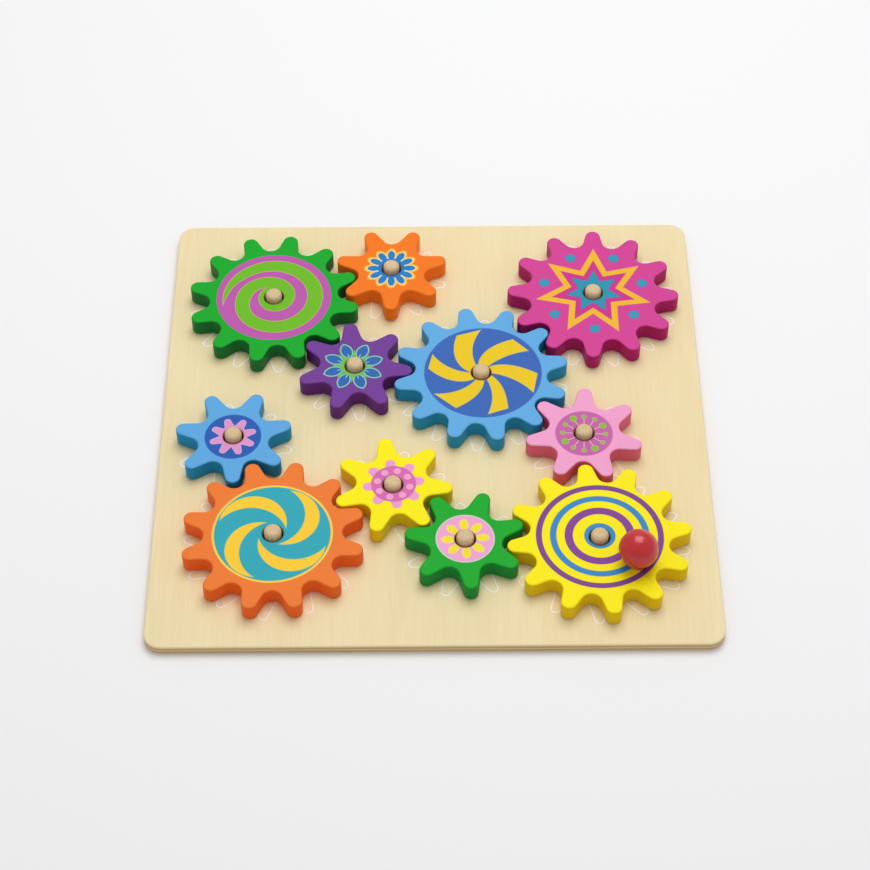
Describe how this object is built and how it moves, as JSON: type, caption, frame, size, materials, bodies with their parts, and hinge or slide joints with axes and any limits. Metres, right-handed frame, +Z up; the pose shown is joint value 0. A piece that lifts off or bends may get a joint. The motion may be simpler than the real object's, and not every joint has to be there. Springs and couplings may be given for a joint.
{
  "type": "wooden gear board toy",
  "caption": "Square plywood board with interlocking painted wooden gears that spin on pegs; turning the knob on one gear drives them all.",
  "frame": {"origin": "middle of the board's underside", "axes": "+Z up out of the board's face along the pegs, +X to the right, +Y away from the side with the crank gear"},
  "size_m": [0.26, 0.26, 0.0327],
  "materials": {
    "board_ply": "sanded birch plywood under a thin clear coat",
    "peg_wood": "sanded beech dowel",
    "knob_red": "satin red paint on beech",
    "pin_wood": "plain beech dowel",
    "blue_pinwheel_paint": "satin paint on plywood with a printed top",
    "magenta_star_paint": "satin paint on plywood with a printed top",
    "purple_flower_paint": "satin paint on plywood with a printed top",
    "green_spiral_paint": "satin paint on plywood with a printed top",
    "orange_daisy_paint": "satin paint on plywood with a printed top",
    "pink_dandelion_paint": "satin paint on plywood with a printed top",
    "yellow_ring_paint": "satin paint on plywood with a printed top",
    "green_blossom_paint": "satin paint on plywood with a printed top",
    "yellow_blossom_paint": "satin paint on plywood with a printed top",
    "orange_swirl_paint": "satin paint on plywood with a printed top",
    "blue_flower_paint": "satin paint on plywood with a printed top"
  },
  "bodies": {
    "board_assembly": {"board": "board_ply", "blue_pinwheel_peg": "peg_wood", "magenta_star_peg": "peg_wood", "purple_flower_peg": "peg_wood", "green_spiral_peg": "peg_wood", "orange_daisy_peg": "peg_wood", "pink_dandelion_peg": "peg_wood", "yellow_ring_peg": "peg_wood", "green_blossom_peg": "peg_wood", "yellow_blossom_peg": "peg_wood", "orange_swirl_peg": "peg_wood", "blue_flower_peg": "peg_wood"},
    "blue_pinwheel_wheel": {"blue_pinwheel_gear": "blue_pinwheel_paint"},
    "magenta_star_wheel": {"magenta_star_gear": "magenta_star_paint"},
    "purple_flower_wheel": {"purple_flower_gear": "purple_flower_paint"},
    "green_spiral_wheel": {"green_spiral_gear": "green_spiral_paint"},
    "orange_daisy_wheel": {"orange_daisy_gear": "orange_daisy_paint"},
    "pink_dandelion_wheel": {"pink_dandelion_gear": "pink_dandelion_paint"},
    "yellow_ring_wheel": {"yellow_ring_gear": "yellow_ring_paint", "crank_knob": "knob_red", "crank_pin": "pin_wood"},
    "green_blossom_wheel": {"green_blossom_gear": "green_blossom_paint"},
    "yellow_blossom_wheel": {"yellow_blossom_gear": "yellow_blossom_paint"},
    "orange_swirl_wheel": {"orange_swirl_gear": "orange_swirl_paint"},
    "blue_flower_wheel": {"blue_flower_gear": "blue_flower_paint"}
  },
  "joints": [
    {"name": "blue_pinwheel_spin", "type": "hinge", "parent": "board_assembly", "child": "blue_pinwheel_wheel", "pos_m": [0.0233, 0.0223, 0.0096], "axis": [0, 0, 1], "continuous": true},
    {"name": "magenta_star_spin", "type": "hinge", "parent": "board_assembly", "child": "magenta_star_wheel", "pos_m": [0.07992, 0.07419, 0.0096], "axis": [0, 0, 1], "continuous": true},
    {"name": "purple_flower_spin", "type": "hinge", "parent": "board_assembly", "child": "purple_flower_wheel", "pos_m": [-0.03781, 0.02711, 0.0096], "axis": [0, 0, 1], "continuous": true},
    {"name": "green_spiral_spin", "type": "hinge", "parent": "board_assembly", "child": "green_spiral_wheel", "pos_m": [-0.07883, 0.07266, 0.0096], "axis": [0, 0, 1], "continuous": true},
    {"name": "orange_daisy_spin", "type": "hinge", "parent": "board_assembly", "child": "orange_daisy_wheel", "pos_m": [-0.02053, 0.09161, 0.0096], "axis": [0, 0, 1], "continuous": true},
    {"name": "pink_dandelion_spin", "type": "hinge", "parent": "board_assembly", "child": "pink_dandelion_wheel", "pos_m": [0.07127, -0.01586, 0.0096], "axis": [0, 0, 1], "continuous": true},
    {"name": "yellow_ring_spin", "type": "hinge", "parent": "board_assembly", "child": "yellow_ring_wheel", "pos_m": [0.07555, -0.07701, 0.0096], "axis": [0, 0, 1], "continuous": true},
    {"name": "green_blossom_spin", "type": "hinge", "parent": "board_assembly", "child": "green_blossom_wheel", "pos_m": [0.01425, -0.07755, 0.0096], "axis": [0, 0, 1], "continuous": true},
    {"name": "yellow_blossom_spin", "type": "hinge", "parent": "board_assembly", "child": "yellow_blossom_wheel", "pos_m": [-0.01897, -0.04602, 0.0096], "axis": [0, 0, 1], "continuous": true},
    {"name": "orange_swirl_spin", "type": "hinge", "parent": "board_assembly", "child": "orange_swirl_wheel", "pos_m": [-0.07359, -0.07385, 0.0096], "axis": [0, 0, 1], "continuous": true},
    {"name": "blue_flower_spin", "type": "hinge", "parent": "board_assembly", "child": "blue_flower_wheel", "pos_m": [-0.09455, -0.01625, 0.0096], "axis": [0, 0, 1], "continuous": true}
  ],
  "couplings": [
    {"joint": "blue_pinwheel_spin", "follows": "yellow_ring_spin", "ratio": 1},
    {"joint": "magenta_star_spin", "follows": "yellow_ring_spin", "ratio": -1},
    {"joint": "purple_flower_spin", "follows": "yellow_ring_spin", "ratio": -1.7143},
    {"joint": "green_spiral_spin", "follows": "yellow_ring_spin", "ratio": 1},
    {"joint": "orange_daisy_spin", "follows": "yellow_ring_spin", "ratio": -1.7143},
    {"joint": "pink_dandelion_spin", "follows": "yellow_ring_spin", "ratio": -1.7143},
    {"joint": "green_blossom_spin", "follows": "yellow_ring_spin", "ratio": -1.7143},
    {"joint": "yellow_blossom_spin", "follows": "yellow_ring_spin", "ratio": 1.7143},
    {"joint": "orange_swirl_spin", "follows": "yellow_ring_spin", "ratio": -1},
    {"joint": "blue_flower_spin", "follows": "yellow_ring_spin", "ratio": 1.7143}
  ]
}
